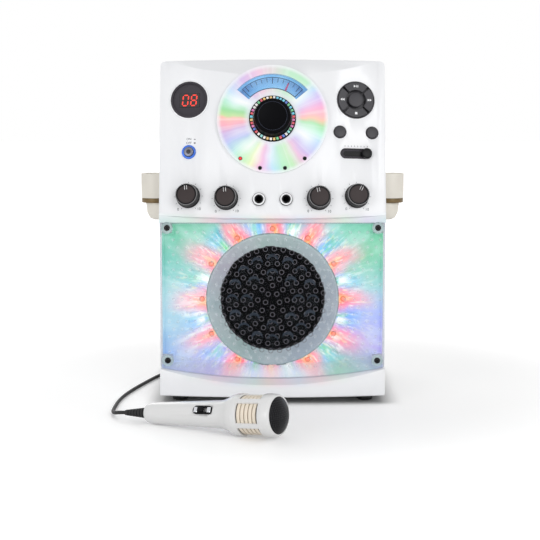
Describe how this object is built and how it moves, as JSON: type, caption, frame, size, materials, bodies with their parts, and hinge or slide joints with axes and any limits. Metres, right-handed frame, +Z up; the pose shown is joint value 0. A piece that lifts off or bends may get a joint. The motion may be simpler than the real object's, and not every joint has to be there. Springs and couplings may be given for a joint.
{
  "type": "karaoke machine with disc tray",
  "caption": "Tabletop karaoke machine: bowed leaning control panel, clear-fronted light show round a speaker, top disc well, side microphone holders and a corded microphone.",
  "frame": {"origin": "on the floor, under the middle of the cabinet's 252 x 225 mm plan", "axes": "+X to the right seen from the front, +Y to the back, +Z up; the front faces -Y"},
  "size_m": [0.334, 0.5076, 0.3844],
  "materials": {
    "shell_white": "satin injection moulding",
    "cabinet_white": "fine moulded grain",
    "clear_plastic": "clear moulding",
    "reflector": "bright reflector",
    "frosted_grey": "frosted",
    "black_plastic": "satin",
    "dark_grey": "satin",
    "grey_plastic": "satin",
    "cream_plastic": "fine moulded grain",
    "mic_white": "gloss moulding",
    "iridescent": "iridescent printed disc",
    "blue_dial": "lit dial",
    "magenta": "gloss",
    "lens": "clear",
    "jewel": "faceted bright ring",
    "red_light": "translucent",
    "blue_light": "lit ring",
    "display": "dark window",
    "silver": "satin plating",
    "steel": "plated",
    "screw_black": "black plating",
    "board_green": "circuit board",
    "paper_cone": "pressed paper",
    "rubber_black": "soft",
    "metal_mesh": "woven wire"
  },
  "bodies": {
    "machine": {"front_bezel": "shell_white", "cabinet_shell": "cabinet_white", "rear_panel": "cabinet_white", "top_deck": "cabinet_white", "feet": "rubber_black", "case_screws": "screw_black", "lid_hinge_pins": "steel", "clear_cover": "clear_plastic", "light_reflector": "reflector", "speaker_ring": "frosted_grey", "light_board": "board_green", "speaker_frame": "steel", "speaker_cone": "paper_cone", "disc_face": "iridescent", "meter_dial": "blue_dial", "meter_lens": "lens", "jewel_ring": "jewel", "status_lights": "red_light", "display_bezel": "grey_plastic", "display_module": "display", "power_ring": "blue_light", "mic_jacks": "black_plastic", "pad_bezel": "dark_grey", "control_board": "board_green", "slider_bezel": "grey_plastic", "mic_holder_left": "cream_plastic", "mic_holder_right": "cream_plastic", "rear_sockets": "black_plastic", "main_board": "board_green", "transformer": "steel", "disc_chassis": "black_plastic", "disc_motors": "steel", "mic_body": "mic_white", "mic_head": "mic_white", "mic_ribs": "cream_plastic", "mic_mesh": "metal_mesh", "mic_switch_plate": "silver", "mic_strain_relief": "rubber_black", "mic_cable": "rubber_black", "cable_coil": "rubber_black", "mic_plug": "black_plastic"},
    "lid": {"disc_lid": "shell_white"},
    "turntable": {"turntable": "black_plastic"},
    "sled": {"laser_sled": "black_plastic"},
    "voice_control_knob": {"voice_control_knob": "dark_grey"},
    "balance_knob": {"balance_knob": "dark_grey"},
    "echo_knob": {"echo_knob": "dark_grey"},
    "mic_volume_knob": {"mic_volume_knob": "dark_grey"},
    "master_knob": {"master_volume_knob": "black_plastic"},
    "needle": {"meter_needle": "magenta"},
    "slider": {"light_slider": "black_plastic"},
    "play_button": {"play_button": "dark_grey"},
    "rewind_button": {"rewind_button": "dark_grey"},
    "forward_button": {"forward_button": "dark_grey"},
    "stop_button": {"stop_button": "dark_grey"},
    "centre_button": {"centre_button": "dark_grey"},
    "left_small_button": {"left_small_button": "dark_grey"},
    "right_small_button": {"right_small_button": "dark_grey"},
    "power_button": {"power_button": "silver"},
    "mic_switch": {"mic_switch": "black_plastic"}
  },
  "joints": [
    {"name": "lid_hinge", "type": "hinge", "parent": "machine", "child": "lid", "pos_m": [0, 0.101, 0.38095], "axis": [-1, 0, 0], "range_deg": [0, 75]},
    {"name": "turntable_spin", "type": "hinge", "parent": "machine", "child": "turntable", "pos_m": [0, 0.028, 0.36345], "axis": [0, 0, 1], "continuous": true},
    {"name": "laser_sled_slide", "type": "slide", "parent": "machine", "child": "sled", "axis": [0, -1, 0], "range_m": [0, 0.034]},
    {"name": "voice_control_knob_turn", "type": "hinge", "parent": "machine", "child": "voice_control_knob", "pos_m": [-0.09356, -0.11484, 0.2332], "axis": [-0.1393, -0.9608, 0.2396], "range_deg": [-155, 145]},
    {"name": "balance_knob_turn", "type": "hinge", "parent": "machine", "child": "balance_knob", "pos_m": [-0.05131, -0.12004, 0.2313], "axis": [-0.0764, -0.9675, 0.2412], "range_deg": [-154, 146]},
    {"name": "echo_knob_turn", "type": "hinge", "parent": "machine", "child": "echo_knob", "pos_m": [0.05131, -0.12004, 0.2313], "axis": [0.0764, -0.9675, 0.2412], "range_deg": [-163, 137]},
    {"name": "mic_volume_knob_turn", "type": "hinge", "parent": "machine", "child": "mic_volume_knob", "pos_m": [0.09356, -0.11484, 0.2332], "axis": [0.1393, -0.9608, 0.2396], "range_deg": [-126, 174]},
    {"name": "master_volume_turn", "type": "hinge", "parent": "machine", "child": "master_knob", "pos_m": [0, -0.10046, 0.31794], "axis": [0, -0.9703, 0.2419], "range_deg": [-150, 150]},
    {"name": "meter_needle_swing", "type": "hinge", "parent": "machine", "child": "needle", "pos_m": [0, -0.10046, 0.31794], "axis": [0, -0.9703, 0.2419], "range_deg": [-21, 68]},
    {"name": "light_slider_slide", "type": "slide", "parent": "machine", "child": "slider", "axis": [0.9902, 0.1352, -0.0337], "range_m": [-0.023, 0]},
    {"name": "play_button_press", "type": "slide", "parent": "machine", "child": "play_button", "axis": [-0.1393, 0.9608, -0.2396], "range_m": [0, 0.001], "stiffness_N_per_m": 250, "springref_m": -0.0006},
    {"name": "rewind_button_press", "type": "slide", "parent": "machine", "child": "rewind_button", "axis": [-0.1393, 0.9608, -0.2396], "range_m": [0, 0.001], "stiffness_N_per_m": 250, "springref_m": -0.0006},
    {"name": "forward_button_press", "type": "slide", "parent": "machine", "child": "forward_button", "axis": [-0.1393, 0.9608, -0.2396], "range_m": [0, 0.001], "stiffness_N_per_m": 250, "springref_m": -0.0006},
    {"name": "stop_button_press", "type": "slide", "parent": "machine", "child": "stop_button", "axis": [-0.1393, 0.9608, -0.2396], "range_m": [0, 0.001], "stiffness_N_per_m": 250, "springref_m": -0.0006},
    {"name": "centre_button_press", "type": "slide", "parent": "machine", "child": "centre_button", "axis": [-0.1393, 0.9608, -0.2396], "range_m": [0, 0.001], "stiffness_N_per_m": 250, "springref_m": -0.0006},
    {"name": "left_small_button_press", "type": "slide", "parent": "machine", "child": "left_small_button", "axis": [-0.1124, 0.9642, -0.2404], "range_m": [0, 0.001], "stiffness_N_per_m": 250, "springref_m": -0.0006},
    {"name": "right_small_button_press", "type": "slide", "parent": "machine", "child": "right_small_button", "axis": [-0.1663, 0.9568, -0.2386], "range_m": [0, 0.001], "stiffness_N_per_m": 250, "springref_m": -0.0006},
    {"name": "power_button_latch", "type": "slide", "parent": "machine", "child": "power_button", "axis": [-0.1393, -0.9608, 0.2396], "range_m": [-0.0008, 0.002]},
    {"name": "mic_switch_slide", "type": "slide", "parent": "machine", "child": "mic_switch", "axis": [0.8536, -0.5129, 0.0917], "range_m": [0, 0.004]}
  ]
}
